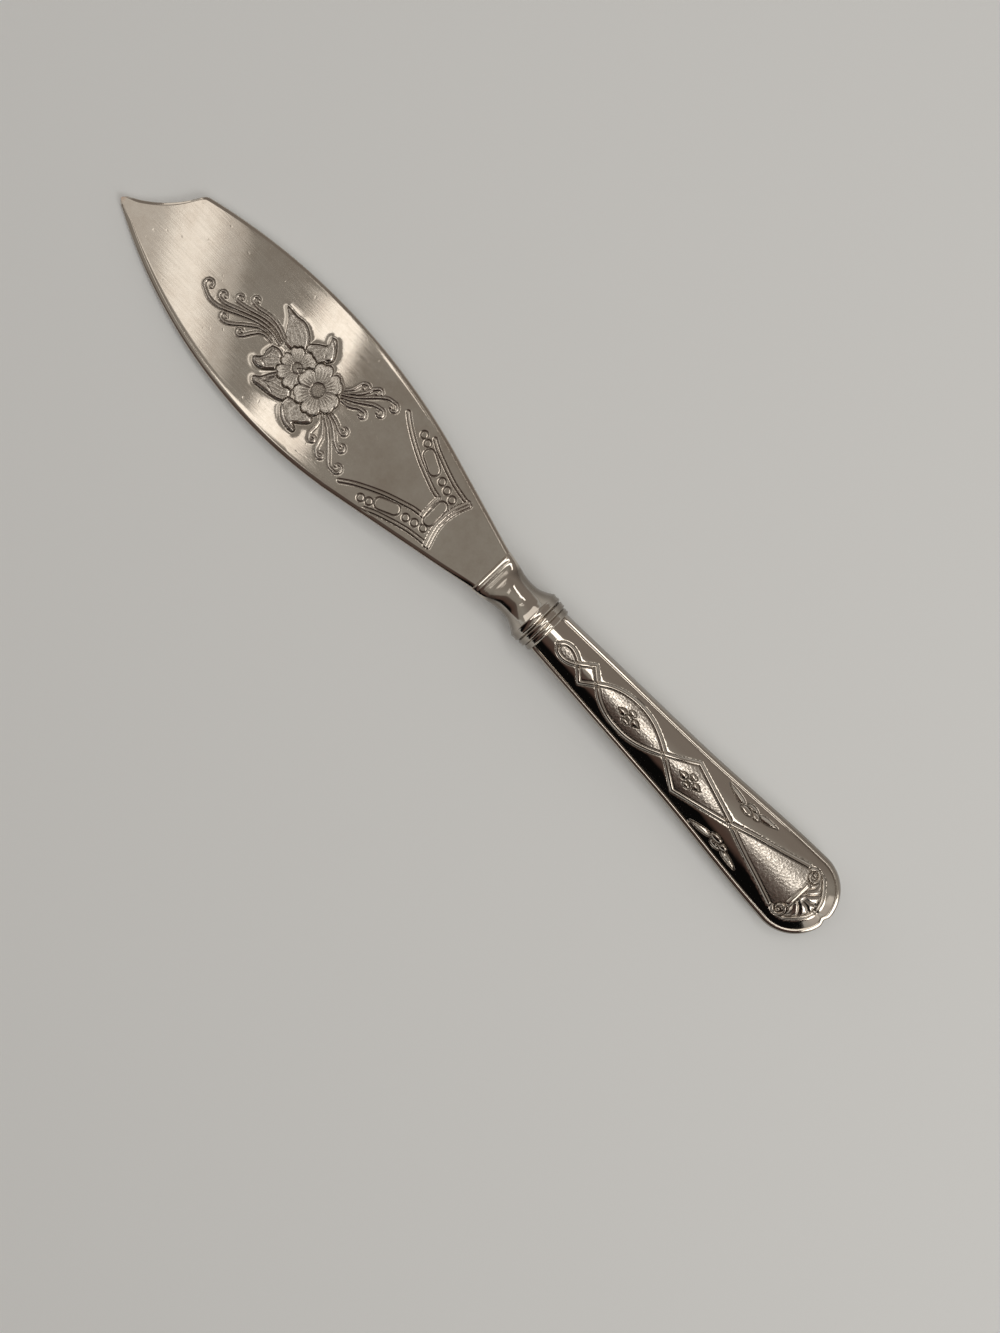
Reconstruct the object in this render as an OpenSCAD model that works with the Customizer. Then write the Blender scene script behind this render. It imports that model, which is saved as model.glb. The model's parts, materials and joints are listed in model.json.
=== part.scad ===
// Pie server with a hollow handle, lying decorated face up.
// +X runs from the handle to the tip, +Z is up, origin under the middle of the bounding box.

/* [Blade] */
// Length from the bolster's lip to the point where tip edge and scoop would meet
blade_len = 138.2; // [110:0.1:170]
// Width across the broadest place
blade_w = 38.8; // [34:0.2:46]
// Thickness of the sheet
blade_t = 1.5; // [1:0.1:2.5]
// Distance from the lip to the broadest place
broadest_x = 72.6; // [64:0.2:80]
// Width at the lip
root_w = 13.2; // [11:0.2:15]
// Radius of the long edge that ends in the tip
tip_edge_r = 140; // [130:1:170]
// Radius of the long edge that ends in the heel
heel_edge_r = 183; // [165:1:220]
// Distance of the heel's corner back from the tip
heel_back = 17.6; // [10:0.2:22]
// Radius of the scoop between tip and heel
scoop_r = 34; // [28:1:90]
// Rounding of the tip
tip_r = 1.5; // [1:0.1:2]
// Rounding of the heel's corner
heel_r = 3; // [2:0.1:4]
// Width of the bevelled border
border_w = 1.3; // [0.6:0.1:1.4]
// Height of the bevelled border
border_h = 0.5; // [0.2:0.1:0.8]
// Length of the tongue in the bolster's slot
tongue_len = 7; // [4:0.5:9]
// Width of the tongue
tongue_w = 8; // [5:0.5:9]

/* [Bolster] */
// Length from the flange's back to the lip's front
bolster_len = 17.6; // [15:0.2:22]
// Radius of the flange
flange_r = 7.6; // [7.2:0.1:8.4]
// Length of the flange
flange_len = 2.3; // [1.5:0.1:3]
// Radius of the neck
neck_r = 5.3; // [4.8:0.1:6]
// Length of the lip
lip_len = 1.6; // [1:0.1:2.4]
// Height of the lip
lip_h = 4.6; // [4:0.1:5.4]
// How far the lip stands up over the saddle behind it
lip_step = 0.3; // [0.1:0.05:0.5]
// Flat edge left on the flange's front
flange_edge = 0.25; // [0.1:0.05:0.5]
// How far the lip stands out past the blade's root at each side
lip_side = 0.3; // [0:0.1:0.6]
// Length of the tang
tang_len = 62; // [40:1:80]
// Radius of the tang at the flange
tang_r = 2.6; // [2:0.1:3.2]
// Radius of the tang at its end
tang_end_r = 1.5; // [1:0.1:2]

/* [Ferrule] */
// Length of the ring
ferrule_len = 3.7; // [3:0.1:5]
// Radius of the front bead's crown
front_bead_r = 7.4; // [7.1:0.1:8]
// Radius of the back bead's crown
back_bead_r = 7; // [6.9:0.1:7.4]
// Thickness of the ring between its beads
sleeve_t = 0.35; // [0.2:0.05:0.5]
// Share of the ring's length taken by the front bead
front_share = 0.56; // [0.45:0.01:0.65]

/* [Handle] */
// Length from the ferrule to the end
handle_len = 102.7; // [90:0.1:120]
// Radius at the mouth, under the ferrule
mouth_r = 6.35; // [6:0.05:6.5]
// Half width at the middle of the rounded end
end_r = 11.6; // [10:0.1:13]
// Share of the widening that comes as a late swell
swell_share = 0.2; // [0:0.05:0.4]
// Height of the front half over the seam at the rounded end
front_h = 5; // [4:0.1:6]
// Depth of the back half under the seam at the rounded end
back_h = 4.8; // [4:0.1:6]
// Thickness of the stamped sheet
shell_t = 0.6; // [0.4:0.05:0.9]

/* [Stance] */
// Slope of the handle up towards the blade, in degrees
handle_tilt = 1.9; // [1.8:0.1:3]

/* [Fits] */
// Solder gap around the tongue and inside the ferrule
solder_gap = 0.05; // [0.02:0.01:0.1]
// Gap between the cement and what it holds
cement_gap = 0.02; // [0.01:0.01:0.05]

/* [Hidden] */
$fn = 96;
side_steps = 13;
end_steps = 8;
round_steps = 14;
edge_steps = 24;
corner_steps = 6;
scoop_steps = 8;
neck_round = 32;
flare_steps = 5;
saddle_steps = 8;
tongue_step = 0.2;
slice = 0.01;

// Swell of the handle's sides: a straight taper with a late smooth bulge added to it
mouth_x = -ferrule_len;
end_x = mouth_x - handle_len + end_r;
side_len = mouth_x - end_x;
widening = end_r - mouth_r;
function clamp01(a) = min(max(a, 0), 1);
function smooth(a) = let (c = clamp01(a)) c * c * (3 - 2 * c);
function side_w(x) = let (a = clamp01((mouth_x - x) / side_len))
    mouth_r + widening * ((1 - swell_share) * a + swell_share * smooth((a - 0.5) / 0.45));

// Fullness of the section, from a circle at the mouth to a flatter cushion
function mouth_to_end(x) = smooth((mouth_x - x) / side_len);
function section_power(x) = 1 - 0.2 * mouth_to_end(x);
function front_rise(x) = mouth_r + (front_h - mouth_r) * mouth_to_end(x);
function back_rise(x) = mouth_r + (back_h - mouth_r) * mouth_to_end(x);

// Stations along the handle, each with its place and how far round the end it is
end_turn = 88;
stations = concat(
    [[0, 0]],
    [for (i = [0:side_steps]) [mouth_x - side_len * i / side_steps, 0]],
    [for (i = [1:end_steps]) [end_x, end_turn * i / end_steps]]
);
last_station = len(stations) - 1;

// One point of the handle's skin, laid in by the given inset, at a place round the section
function skin_point(station, round, inset, rise) = let (
        x = station[0],
        turn = station[1],
        w = side_w(x) - inset,
        h = rise - inset,
        power = section_power(x)
    )
    [x - w * sin(turn), w * cos(turn) * sin(round), h * pow(max(cos(turn) * cos(round), 0), power)];

// Half sections run from one seam edge over the crown to the other
half_turns = [for (j = [0:round_steps]) -90 + 180 * j / round_steps];
function front_ring(station, inset) =
    [for (a = half_turns) skin_point(station, a, inset, front_rise(station[0]))];
function back_ring(station, inset) = [for (a = half_turns)
    let (p = skin_point(station, -a, inset, back_rise(station[0]))) [p.x, p.y, -p.z]];
function ends_left_out(ring) = [for (j = [1:len(ring) - 2]) ring[j]];

// Faces of a skin of rings with the same count of points
function flat_list(rings) = [for (ring = rings) for (p = ring) p];
function strip_faces(rings, count, base, flip) = [for (i = [0:rings - 2]) for (j = [0:count - 2])
    let (a = base + i * count + j, b = a + count)
    for (f = [[a, b, a + 1], [a + 1, b, b + 1]]) flip ? [f[2], f[1], f[0]] : f];

// Blade outline: two long arcs, straight tapers touching them, and a scoop between tip and heel
tip_arc = [broadest_x, blade_w / 2 - tip_edge_r];
heel_arc = [broadest_x, heel_edge_r - blade_w / 2];
function touch_point(from, centre, r, side) = let (
        away = centre - from,
        turn = atan2(away.y, away.x) + side * asin(r / norm(away))
    )
    from + sqrt(away * away - r * r) * [cos(turn), sin(turn)];
root_tip_side = [0, root_w / 2];
root_heel_side = [0, -root_w / 2];
touch_tip_side = touch_point(root_tip_side, tip_arc, tip_edge_r, 1);
touch_heel_side = touch_point(root_heel_side, heel_arc, heel_edge_r, -1);
function arc_y(x, centre, r) = sqrt(r * r - pow(x - centre.x, 2));
tip = [blade_len, tip_arc.y + arc_y(blade_len, tip_arc, tip_edge_r)];
heel_x = blade_len - heel_back;
heel = [heel_x, heel_arc.y - arc_y(heel_x, heel_arc, heel_edge_r)];
scoop_chord = tip - heel;
scoop_out = [scoop_chord.y, -scoop_chord.x] / norm(scoop_chord);
scoop_arc = (tip + heel) / 2 + scoop_out * sqrt(pow(scoop_r, 2) - scoop_chord * scoop_chord / 4);

// Roundings that touch a long arc from inside and the scoop from outside
function rounding(long_arc, long_r, r, side) = let (
        between = scoop_arc - long_arc,
        d = norm(between),
        a = long_r - r,
        b = scoop_r + r,
        along = (a * a - b * b + d * d) / (2 * d),
        run = between / d
    )
    long_arc + run * along + side * [-run.y, run.x] * sqrt(a * a - along * along);
tip_round = rounding(tip_arc, tip_edge_r, tip_r, 1);
heel_round = rounding(heel_arc, heel_edge_r, heel_r, -1);
tip_x = tip_round.x + tip_r;

// An arc of the outline as points, where a trim of 1 leaves the ends to its neighbours
function angle_to(from, to) = atan2(to.y - from.y, to.x - from.x);
function arc_points(centre, r, from, to, steps, trim = 0) = [for (i = [trim:steps - trim])
    let (a = from + (to - from) * i / steps) centre + r * [cos(a), sin(a)]];
tip_edge_from = angle_to(tip_arc, touch_tip_side);
tip_edge_to = angle_to(tip_arc, tip_round);
scoop_from = angle_to(tip_round, scoop_arc);
scoop_to = angle_to(heel_round, scoop_arc);
heel_edge_from = angle_to(heel_arc, heel_round);
heel_edge_to = angle_to(heel_arc, touch_heel_side);

// The outline drawn in by an inset
function blade_outline(inset) = concat(
    [[0, root_w / 2 - inset]],
    arc_points(tip_arc, tip_edge_r - inset, tip_edge_from, tip_edge_to, edge_steps),
    arc_points(tip_round, tip_r - inset, tip_edge_to, scoop_from, corner_steps, 1),
    arc_points(scoop_arc, scoop_r + inset, scoop_from + 180, scoop_to + 180, scoop_steps),
    arc_points(heel_round, heel_r - inset, scoop_to, heel_edge_from, corner_steps, 1),
    arc_points(heel_arc, heel_edge_r - inset, heel_edge_from, heel_edge_to, edge_steps),
    [[0, inset - root_w / 2]]
);

// How far the handle's lowest point lies under the joint between flange and ferrule
drop = max([for (s = stations) -s[0] * sin(handle_tilt)
    + back_rise(s[0]) * pow(cos(s[1]), section_power(s[0])) * cos(handle_tilt)
    + side_w(s[0]) * sin(s[1]) * sin(handle_tilt)]);

// The blade slopes down from the lip until its tip meets the ground
lip_z = drop + bolster_len * sin(handle_tilt);
blade_droop = asin((lip_z - blade_t / 2) / tip_x);
handle_reach = (ferrule_len + handle_len) * cos(handle_tilt);
blade_reach = bolster_len * cos(handle_tilt) + tip_x * cos(blade_droop);
joint_x = (handle_reach - blade_reach) / 2;

// A solid skinned over closed rings of as many points each
module closed_skin(rings) {
    count = len(rings[0]);
    last = len(rings) - 1;
    sides = [for (i = [0:last - 1]) for (j = [0:count - 1])
        let (a = i * count + j, b = i * count + (j + 1) % count)
        for (f = [[a, a + count, b], [b, a + count, b + count]]) f];
    caps = [
        [for (j = [0:count - 1]) j],
        [for (j = [count - 1:-1:0]) last * count + j]
    ];
    polyhedron(points = flat_list(rings), faces = concat(sides, caps));
}

module in_handle_frame() {
    translate([joint_x, 0, drop]) rotate([0, -handle_tilt, 0]) children();
}

module in_blade_frame() {
    in_handle_frame() translate([bolster_len, 0, 0]) rotate([0, handle_tilt + blade_droop, 0]) children();
}

module along_x() {
    rotate([0, 90, 0]) children();
}

// The bevel rises from the full outline to one drawn in by the border's width
module blade_border() {
    low = blade_outline(0);
    high = blade_outline(border_w);
    n = len(low);
    sides = [for (i = [0:n - 1]) let (j = (i + 1) % n) for (f = [[i, j, i + n], [j, j + n, i + n]]) f];
    polyhedron(
        points = concat([for (p = low) [p.x, p.y, 0]], [for (p = high) [p.x, p.y, border_h]]),
        faces = concat(sides, [[for (i = [n - 1:-1:0]) i], [for (i = [0:n - 1]) n + i]])
    );
}

module tongue(gap) {
    tongue_h = blade_t - 2 * tongue_step + 2 * gap;
    translate([-tongue_len - gap, -tongue_w / 2 - gap, -tongue_h / 2])
        cube([tongue_len + 2 * gap, tongue_w + 2 * gap, tongue_h]);
}

module blade() {
    color("silver") in_blade_frame() {
        translate([0, 0, -blade_t / 2]) linear_extrude(blade_t - border_h) polygon(blade_outline(0));
        translate([0, 0, blade_t / 2 - border_h]) blade_border();
        tongue(0);
    }
}

// Neck of the bolster: round behind the concave flare, then wider, flatter and squarer to the lip
flare_r = flange_r - flange_edge - neck_r;
neck_x = flange_len + flare_r;
lip_x = bolster_len - lip_len / 2;
lip_bend = handle_tilt + blade_droop;
function signed_pow(a, power) = sign(a) * pow(abs(a), power);
function neck_ring(x, half_w, half_h, power, bend) = [for (j = [0:neck_round - 1])
    let (turn = 360 * j / neck_round, y = half_w * signed_pow(cos(turn), power), z = half_h * signed_pow(sin(turn), power))
    [x + z * sin(bend), y, z * cos(bend)]];
function flare_ring(turn) = let (r = neck_r + flare_r * (1 - sin(turn)))
    neck_ring(flange_len + flare_r * (1 - cos(turn)), r, r, 1, 0);
function saddle_ring(a) = neck_ring(
    neck_x + (lip_x - neck_x) * a,
    neck_r + (root_w / 2 - neck_r) * a * a,
    neck_r + (lip_h / 2 - lip_step - neck_r) * smooth(a),
    1 - 0.55 * smooth(a),
    lip_bend * smooth(a)
);

module neck() {
    rings = concat(
        [neck_ring(flange_len / 2, neck_r, neck_r, 1, 0)],
        [for (i = [0:flare_steps - 1]) flare_ring(90 * i / flare_steps)],
        [for (i = [0:saddle_steps]) saddle_ring(i / saddle_steps)]
    );
    closed_skin(rings);
}

module lip() {
    translate([-lip_len, -root_w / 2 - lip_side, -lip_h / 2]) cube([lip_len, root_w + 2 * lip_side, lip_h]);
}

// The tang is rooted inside the flange
module tang(gap) {
    translate([-tang_len - gap, 0, 0]) along_x()
        cylinder(h = tang_len + gap, r1 = tang_end_r + gap, r2 = tang_r + gap);
    translate([-slice, 0, 0]) along_x() cylinder(h = flange_len / 2, r = tang_r + gap);
}

module bolster() {
    color("lightgray") difference() {
        union() {
            in_handle_frame() {
                along_x() cylinder(h = flange_len, r = flange_r);
                tang(0);
                neck();
            }
            in_blade_frame() lip();
        }
        in_blade_frame() tongue(solder_gap);
    }
}

// A plain sleeve with a round bead at each end
module bead_profile(from, to, crown) {
    half = (to - from) / 2;
    translate([crown - half, (from + to) / 2]) circle(half);
}

module ferrule_profile() {
    waist = -ferrule_len * front_share;
    bore_r = mouth_r + solder_gap;
    intersection() {
        union() {
            bead_profile(waist, 0, front_bead_r);
            bead_profile(-ferrule_len, waist, back_bead_r);
            translate([bore_r, -ferrule_len]) square([sleeve_t, ferrule_len]);
        }
        translate([bore_r, -ferrule_len]) square([flange_r, ferrule_len]);
    }
}

module ferrule() {
    color("silver") in_handle_frame() along_x() rotate_extrude() ferrule_profile();
}

// A half shell is closed by its seam faces, its mouth and its rounded end
module half_shell(outer, inner) {
    count = round_steps + 1;
    rings = last_station + 1;
    base = rings * count;
    seams = [for (i = [0:last_station - 1]) for (side = [0, round_steps])
        let (a = i * count + side, b = a + count, c = base + a, d = base + b)
        for (f = [[a, c, b], [b, c, d]]) side == 0 ? f : [f[2], f[1], f[0]]];
    mouth = [for (j = [0:round_steps - 1]) for (f = [[j, j + 1, base + j], [j + 1, base + j + 1, base + j]]) f];
    last_outer = [for (j = [round_steps:-1:0]) last_station * count + j];
    last_inner = [for (j = [0:round_steps]) base + last_station * count + j];
    seam_end = [
        [last_station * count, base + last_station * count, base + last_station * count + round_steps],
        [last_station * count, base + last_station * count + round_steps, last_station * count + round_steps]
    ];
    polyhedron(
        points = concat(flat_list(outer), flat_list(inner)),
        faces = concat(
            strip_faces(rings, count, 0, false),
            strip_faces(rings, count, base, true),
            seams, mouth, [last_outer, last_inner], seam_end
        )
    );
}

module handle_front_shell() {
    color("gainsboro") in_handle_frame() half_shell(
        [for (s = stations) front_ring(s, 0)],
        [for (s = stations) front_ring(s, shell_t)]
    );
}

module handle_back_shell() {
    color("darkgray") in_handle_frame() half_shell(
        [for (s = stations) back_ring(s, 0)],
        [for (s = stations) back_ring(s, shell_t)]
    );
}

// The cement fills the shells and leaves the tang's own hole
module handle_cement() {
    inset = shell_t + cement_gap;
    color("tan") in_handle_frame() difference() {
        closed_skin([for (s = stations) concat(front_ring(s, inset), ends_left_out(back_ring(s, inset)))]);
        tang(cement_gap);
    }
}

blade();
bolster();
ferrule();
handle_front_shell();
handle_back_shell();
handle_cement();
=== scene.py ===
import json
import math

import bmesh
import bpy
import numpy as np
from mathutils import Matrix, Vector, kdtree


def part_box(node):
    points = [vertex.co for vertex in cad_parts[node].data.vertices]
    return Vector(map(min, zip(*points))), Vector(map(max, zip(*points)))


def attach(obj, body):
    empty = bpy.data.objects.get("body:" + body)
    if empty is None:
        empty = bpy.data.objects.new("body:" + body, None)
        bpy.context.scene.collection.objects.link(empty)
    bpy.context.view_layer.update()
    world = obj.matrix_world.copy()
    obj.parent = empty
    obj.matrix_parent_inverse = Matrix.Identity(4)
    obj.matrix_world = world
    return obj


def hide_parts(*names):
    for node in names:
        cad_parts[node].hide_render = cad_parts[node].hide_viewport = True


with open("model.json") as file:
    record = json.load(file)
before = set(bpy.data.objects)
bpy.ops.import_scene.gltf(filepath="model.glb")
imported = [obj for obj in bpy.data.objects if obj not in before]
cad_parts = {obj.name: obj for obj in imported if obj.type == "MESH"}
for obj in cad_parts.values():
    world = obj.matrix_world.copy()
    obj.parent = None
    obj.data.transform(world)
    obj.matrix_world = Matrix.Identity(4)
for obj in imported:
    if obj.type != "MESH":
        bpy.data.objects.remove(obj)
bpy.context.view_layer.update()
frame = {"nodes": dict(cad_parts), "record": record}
mm = 0.001

# Shapes are drawn in millimetres along the handle's or the blade's own line, then laid into the frame
stance = {"handleTilt": 1.9, "bolsterLength": 17.6}


def handlePlace():
    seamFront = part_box("handle_front_shell")[1]
    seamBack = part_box("handle_back_shell")[1]
    joint = Vector((seamFront.x, 0, seamBack.z))
    turn = Matrix.Rotation(math.radians(-stance["handleTilt"]), 4, "Y")
    return Matrix.Translation(joint) @ turn @ Matrix.Scale(mm, 4)


def bladeBend():
    face = next(m for m in frame["record"]["mounts"] if m["name"] == "serving_face")
    return math.radians(stance["handleTilt"]) + math.asin(face["axis"][0])


def bladePlace():
    lip = Matrix.Translation((stance["bolsterLength"], 0, 0))
    return handlePlace() @ lip @ Matrix.Rotation(bladeBend(), 4, "Y")


# The two halves of an ornament that is the same on both sides of its line
def mirrored(points):
    p = np.asarray(points, float)
    return p, p * np.array([1, -1])


def ease(a):
    c = np.clip(a, 0, 1)
    return c * c * (3 - 2 * c)


def bump(q, centre, spread):
    return np.exp(-(((q - centre) / spread) ** 2))


# A rounded run through a few points
def flow(points, steps=8):
    p = np.asarray(points, float)
    p = np.vstack([2 * p[0] - p[1], p, 2 * p[-1] - p[-2]])
    t = np.linspace(0, 1, steps, endpoint=False)[:, None]
    runs = []
    for a, b, c, d in zip(p, p[1:], p[2:], p[3:]):
        bend = 2 * a - 5 * b + 4 * c - d
        twist = 3 * b - a - 3 * c + d
        runs.append(0.5 * (2 * b + (c - a) * t + bend * t**2 + twist * t**3))
    return np.vstack(runs + [p[-2:-1]])


# A curl that leaves the end of a run along its last direction and winds in
def curl(run, radius, side, turns=0.72, tight=0.6, steps=30):
    end = run[-1]
    ahead = run[-1] - run[-3]
    ahead = ahead / np.hypot(*ahead)
    out = side * np.array([-ahead[1], ahead[0]])
    centre = end + radius * out
    t = np.linspace(0, 1, steps)[1:]
    angle = t * turns * 2 * math.pi
    reach = radius * (1 - (1 - tight) * t)
    wind = centre - out * (reach * np.cos(angle))[:, None] + ahead * (reach * np.sin(angle))[:, None]
    return np.vstack([run, wind])


# Which points lie near a path, how far off it they are, and how far along it
def alongPath(xy, path, reach):
    low, high = path.min(0) - reach, path.max(0) + reach
    near = np.flatnonzero(np.all((xy > low) & (xy < high), axis=1))
    a, ab = path[:-1], np.diff(path, axis=0)
    p = xy[near][:, None, :] - a[None]
    t = np.clip((p * ab).sum(2) / np.maximum((ab**2).sum(1), 1e-9), 0, 1)
    gap = np.hypot(*np.moveaxis(p - t[..., None] * ab, 2, 0))
    best = gap.argmin(1)
    rows = np.arange(len(near))
    lengths = np.hypot(*ab.T)
    start = np.concatenate([[0], np.cumsum(lengths)])
    along = (start[best] + t[rows, best] * lengths[best]) / start[-1]
    return near, gap[rows, best], along


def insidePath(xy, path):
    inside = np.zeros(len(xy), bool)
    for (ax, ay), (bx, by) in zip(path, np.roll(path, -1, axis=0)):
        crosses = (ay > xy[:, 1]) != (by > xy[:, 1])
        with np.errstate(divide="ignore", invalid="ignore"):
            at = (bx - ax) * (xy[:, 1] - ay) / (by - ay) + ax
        inside ^= crosses & (xy[:, 0] < at)
    return inside


# A chased sheet: the place of each point, how far it is raised, how dark it is painted (tarnish in
# its lines, and painted shade), how far it is matted and painted paler (a painted sheen), and its
# distance from the nearest flower or leaf
def newSheet(xy):
    sheet = {key: np.zeros(len(xy)) for key in ("rise", "dark", "matt")}
    return sheet | {"xy": xy, "off": np.full(len(xy), 99.0)}


def lay(sheet, near, value, cover):
    sheet["rise"][near] += (value - sheet["rise"][near]) * cover
    for key in ("dark", "matt"):
        sheet[key][near] *= 1 - cover


def darken(sheet, near, amount):
    sheet["dark"][near] = np.maximum(sheet["dark"][near], np.clip(amount, 0, 1))


# A raised strand with a line cut along each side
def strand(sheet, path, wide, thin, height, cut, dark=0.85, pale=0.0):
    near, gap, along = alongPath(sheet["xy"], path, wide * 0.5 + 0.5)
    half = (thin + (wide - thin) * ease(along / 0.3) * ease((1 - along) / 0.5)) / 2
    body = height * np.clip(1 - (gap / half) ** 2, 0, 1)
    side = bump(gap - half, 0.1, 0.13)
    lay(sheet, near, body - cut * side, ease((0.4 - gap + half) / 0.2))
    # painted highlight: the strand's top is painted paler by its pale share
    sheet["matt"][near] = np.where(gap < half * 0.8, pale, sheet["matt"][near])
    darken(sheet, near, side * dark)


# A round bead, or an oval one where it is drawn out along x
def dot(sheet, centre, radius, height, cut, drawn=1.0):
    rel = (sheet["xy"] - centre) / np.array([drawn, 1])
    q = np.hypot(*rel.T) / radius
    near = np.flatnonzero(q < 1.6)
    q = q[near]
    side = bump(q, 1.12, 0.2)
    value = height * np.sqrt(np.clip(1 - q * q, 0, 1)) - cut * side
    lay(sheet, near, value, ease((1.5 - q) / 0.4))
    darken(sheet, near, side * 0.9)


def cutLine(sheet, path, wide, deep, dark):
    near, gap = alongPath(sheet["xy"], path, wide * 2)[:2]
    side = bump(gap / wide * 2, 0, 0.75)
    sheet["rise"][near] -= deep * side
    darken(sheet, near, side * dark)


def beside(path, offset):
    slope = np.gradient(path, axis=0)
    slope /= np.hypot(*slope.T)[:, None]
    return path + offset * np.stack([-slope[:, 1], slope[:, 0]], axis=1)


def ring(centre, radius, steps=28):
    t = np.linspace(0, 2 * math.pi, steps + 1)
    return np.asarray(centre) + radius * np.stack([np.cos(t), np.sin(t)], axis=1)


# A bar with round ends, turned along the line from one end to the other
def pill(start, end, radius, steps=10):
    start, end = np.asarray(start, float), np.asarray(end, float)
    turn = math.atan2(end[1] - start[1], end[0] - start[0])
    t = np.linspace(-math.pi / 2, math.pi / 2, steps) + turn
    cap = radius * np.stack([np.cos(t), np.sin(t)], axis=1)
    outline = np.vstack([end + cap, start - cap])
    return np.vstack([outline, outline[:1]])


# A leaf inside an outline, veined from its base to its tip and rising from its edge to a crease
def leaf(sheet, outline, base, tip, height, veins=5, cut=0.16, fold=0.0, matt=0.0, crease=0.5, step=0.4):
    path = np.vstack([outline, outline[:1]])
    near, gap = alongPath(sheet["xy"], path, 1.8)[:2]
    within = insidePath(sheet["xy"][near], outline)
    axis = np.asarray(tip, float) - np.asarray(base, float)
    length = np.hypot(*axis)
    axis /= length
    rel = sheet["xy"][near] - base
    ahead = np.clip(rel @ axis / length, 0, 1)
    across = rel @ np.array([-axis[1], axis[0]])
    share = across / (np.abs(across) + gap + 0.02)
    rib = np.cos(share * math.pi * veins)
    body = height * (step + (1 - step) * np.minimum(gap / crease, 1))
    body += 0.09 * height * rib * ease(gap / 0.4)
    body += fold * ahead**2 * height
    side = np.where(within, 0, bump(gap, 0.16, 0.16))
    cover = np.where(within, 1, ease((0.5 - gap) / 0.3))
    lay(sheet, near, np.where(within, body, -cut * side), cover)
    sheet["matt"][near] = np.where(within, matt, sheet["matt"][near])
    vein = bump(rib, -1, 0.5) if veins else 0
    darken(sheet, near, side + np.where(within, 0.3 * vein * ease(gap / 0.5), 0))
    sheet["off"][near] = np.minimum(sheet["off"][near], np.where(within, 0, gap))


# A turned-over edge of a leaf: smooth and rounded, or a recess under it, painted dark as shade, where the
# height is negative
def turnover(sheet, points, height):
    outline = flow(points + points[:1], 5)[:-1]
    near, gap = alongPath(sheet["xy"], np.vstack([outline, outline[:1]]), 0.4)[:2]
    within = insidePath(sheet["xy"][near], outline)
    curve = np.where(within, ease(gap / 0.55), 0)
    side = np.where(within, 0, bump(gap, 0.1, 0.12))
    sheet["rise"][near] += height * curve - 0.1 * side
    darken(sheet, near, side * 0.9 + (0.8 * curve if height < 0 else 0))


# A flower: petals that meet edge to edge round its middle, each notched at its tip and lined from the eye
def bloom(sheet, middle, eye, petals, height, cut=0.16):
    rel = sheet["xy"] - middle
    out = np.hypot(*rel.T)
    turns = np.radians([turn for turn, reach in petals])
    for (turn, reach), before, after in zip(petals, np.roll(turns, 1), np.roll(turns, -1)):
        axis = math.radians(turn)
        near = np.flatnonzero(out < reach + 0.6)
        off = (np.arctan2(rel[near, 1], rel[near, 0]) - axis + math.pi) % (2 * math.pi) - math.pi
        half = np.where(off > 0, (after - axis) % (2 * math.pi), (axis - before) % (2 * math.pi)) / 2
        half = np.minimum(half, flower["widestHalf"])
        share = np.abs(off) / half
        mine = share < 1.01
        tip = reach * (1 - 0.24 * np.minimum(share, 1) ** 4 - 0.05 * bump(share, 0, 0.16))
        edge = tip - out[near]
        seam = bump((1 - share) * half * out[near], 0, 0.13)
        ahead = out[near] / tip
        lines = bump(np.cos(off * 30), -1, 0.4) * ease((0.86 - ahead) / 0.3)
        cup = 0.5 + 0.5 * np.sin(np.minimum(ahead, 1) * 2.2) - 0.12 * np.minimum(share, 1) ** 2
        body = height * cup * ease((edge + 0.15) / 0.4) - 0.08 * seam - 0.06 * lines
        side = np.where(edge > 0, 0, bump(edge, -0.14, 0.15))
        cover = np.where(edge > 0, 1, ease((edge + 0.45) / 0.25)) * mine
        lay(sheet, near, np.where(edge > 0, body, -cut * side), cover)
        own = mine & (edge > 0)
        # painted highlight: the outer part of each petal is painted paler
        sheet["matt"][near] = np.where(own, 0.4 + 0.25 * ease(ahead * 1.3 - 0.2), sheet["matt"][near])
        # painted shade: the inner part of each petal is painted darker, besides its lines and seams
        marks = 0.5 * lines + 0.6 * seam + 0.2 * ease((0.7 - ahead) / 0.5)
        darken(sheet, near, np.where(own, marks, side * mine))
        clear = np.where(mine, np.maximum(-edge, 0), 99)
        sheet["off"][near] = np.minimum(sheet["off"][near], clear)
    near = np.flatnonzero(out < eye * 1.2)
    rim = bump(out[near] / eye, 1.05, 0.12)
    disc = ease((1.1 - out[near] / eye) / 0.2)
    lay(sheet, near, height * 0.45 - 0.06 * rim, np.maximum(disc, rim))
    darken(sheet, near, 0.8 * rim + 0.35 * disc)
    seeds(sheet, middle, eye)


def pointTree(points):
    tree = kdtree.KDTree(len(points))
    for i, (x, y) in enumerate(points):
        tree.insert((x, y, 0), i)
    tree.balance()
    return tree


# Points at even steps along every path
def evenly(paths, apart):
    spots = []
    for path in paths:
        count = max(2, int(np.hypot(*np.diff(path, axis=0).T).sum() / apart))
        at = np.linspace(0, len(path) - 1, count)
        steps = np.arange(len(path))
        spots.append(np.stack([np.interp(at, steps, path[:, k]) for k in (0, 1)], axis=1))
    return np.vstack(spots)


# Splits the faces of a grid again and again around the places that hold detail
def refine(bm, place, rounds):
    for detail, reach in rounds:
        tree = pointTree(detail)
        faces = list(bm.faces)
        middles = np.array([f.calc_center_median()[:2] for f in faces])
        spots, free = place(middles[:, 0], middles[:, 1])
        edges = set()
        for face, (x, y), wanted in zip(faces, spots, free):
            if wanted and tree.find((x, y, 0))[2] < reach:
                edges.update(face.edges)
        bmesh.ops.subdivide_edges(bm, edges=list(edges), cuts=1, use_grid_fill=True, use_single_edge=True)


def gridPoints(bm):
    bm.verts.index_update()
    co = np.empty((len(bm.verts), 3))
    for v in bm.verts:
        co[v.index] = v.co
    return co


def setPoints(bm, co):
    for v in bm.verts:
        v.co = co[v.index]
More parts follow.
